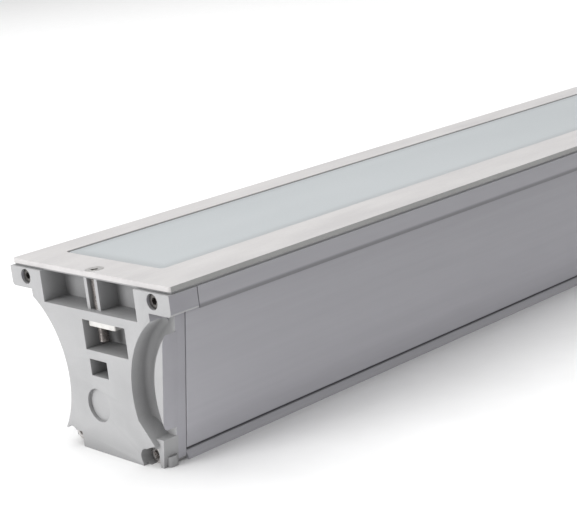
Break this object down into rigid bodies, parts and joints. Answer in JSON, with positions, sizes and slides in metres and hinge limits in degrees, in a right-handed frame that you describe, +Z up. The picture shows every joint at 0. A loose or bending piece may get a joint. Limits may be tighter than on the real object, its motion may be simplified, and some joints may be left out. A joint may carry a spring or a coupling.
{
  "type": "outdoor wall washer light",
  "caption": "Long linear wall washer in an aluminium housing, with a frosted glass top in a flat frame, hourglass end caps, screw clamps for the frame and a cable gland.",
  "frame": {"origin": "bottom centre of the whole light, with its cable gland", "axes": "+Z up towards the glass, +Y along the light from the pictured end to the gland end, +X to the right when looking at the pictured end"},
  "size_m": [0.12, 1.025, 0.089],
  "materials": {
    "extrusion_grey": "satin powder coat",
    "cast_grey": "satin powder coat on die casting",
    "frame_satin": "satin powder coat",
    "frosted_glass": "frosted",
    "seal_rubber": "matt",
    "silicone": "matt",
    "stainless": "turned",
    "bright_plate": "bright",
    "bare_aluminium": "mill finish",
    "board_white": "solder mask",
    "board_green": "solder mask",
    "chip_yellow": "phosphor",
    "clear_lens": "clear moulding",
    "reflector_mirror": "polished sheet",
    "driver_white": "moulded",
    "component_black": "moulded",
    "terminal_plastic": "moulded",
    "brass_part": "turned",
    "tin_lug": "tinned",
    "wire_jacket": "extruded",
    "earth_jacket": "extruded",
    "plated_brass": "nickel plated",
    "vent_plastic": "moulded"
  },
  "bodies": {
    "light": {"housing_profile": "extrusion_grey", "end_cap_near": "cast_grey", "end_cap_far": "cast_grey", "end_gasket_near": "seal_rubber", "end_gasket_far": "seal_rubber", "frame_gasket": "seal_rubber", "glass_seal": "silicone", "upper_screws_near": "stainless", "upper_screws_far": "stainless", "lower_screws_near": "stainless", "lower_screws_far": "stainless", "top_frame": "frame_satin", "glass_pane": "frosted_glass", "pane_carrier": "bare_aluminium", "led_tray": "bare_aluminium", "tray_screws": "stainless", "led_boards": "board_white", "led_chips": "chip_yellow", "lens_strips": "clear_lens", "reflector_left": "reflector_mirror", "reflector_right": "reflector_mirror", "driver_pad": "silicone", "driver_case": "driver_white", "driver_board": "board_green", "driver_components": "component_black", "driver_lid": "driver_white", "driver_screws": "stainless", "terminal_block": "terminal_plastic", "terminal_screws": "brass_part", "earth_lug": "tin_lug", "earth_screw": "stainless", "supply_wires": "wire_jacket", "wire_clips": "terminal_plastic", "board_wires": "wire_jacket", "earth_wire": "earth_jacket", "gland_washer": "seal_rubber", "gland_body": "plated_brass", "gland_lock_nut": "plated_brass", "gland_seal": "seal_rubber", "gland_dome_nut": "plated_brass", "vent_seal": "seal_rubber", "vent_plug": "vent_plastic"},
    "screw_near": {"clamp_screw_near": "stainless"},
    "plate_near": {"clamp_plate_near": "bright_plate"},
    "screw_far": {"clamp_screw_far": "stainless"},
    "plate_far": {"clamp_plate_far": "bright_plate"}
  },
  "joints": [
    {"name": "screw_turn_near", "type": "hinge", "parent": "light", "child": "screw_near", "pos_m": [0, -0.5062, 0.089], "axis": [0, 0, 1], "range_deg": [0, 2890]},
    {"name": "plate_travel_near", "type": "slide", "parent": "light", "child": "plate_near", "axis": [0, 0, -1], "range_m": [0, 0.0064]},
    {"name": "screw_turn_far", "type": "hinge", "parent": "light", "child": "screw_far", "pos_m": [0, 0.4812, 0.089], "axis": [0, 0, 1], "range_deg": [0, 2890]},
    {"name": "plate_travel_far", "type": "slide", "parent": "light", "child": "plate_far", "axis": [0, 0, -1], "range_m": [0, 0.0064]}
  ],
  "couplings": [
    {"joint": "screw_turn_near", "follows": "plate_travel_near", "rad_per_m": 7854},
    {"joint": "screw_turn_far", "follows": "plate_travel_far", "rad_per_m": 7854}
  ]
}
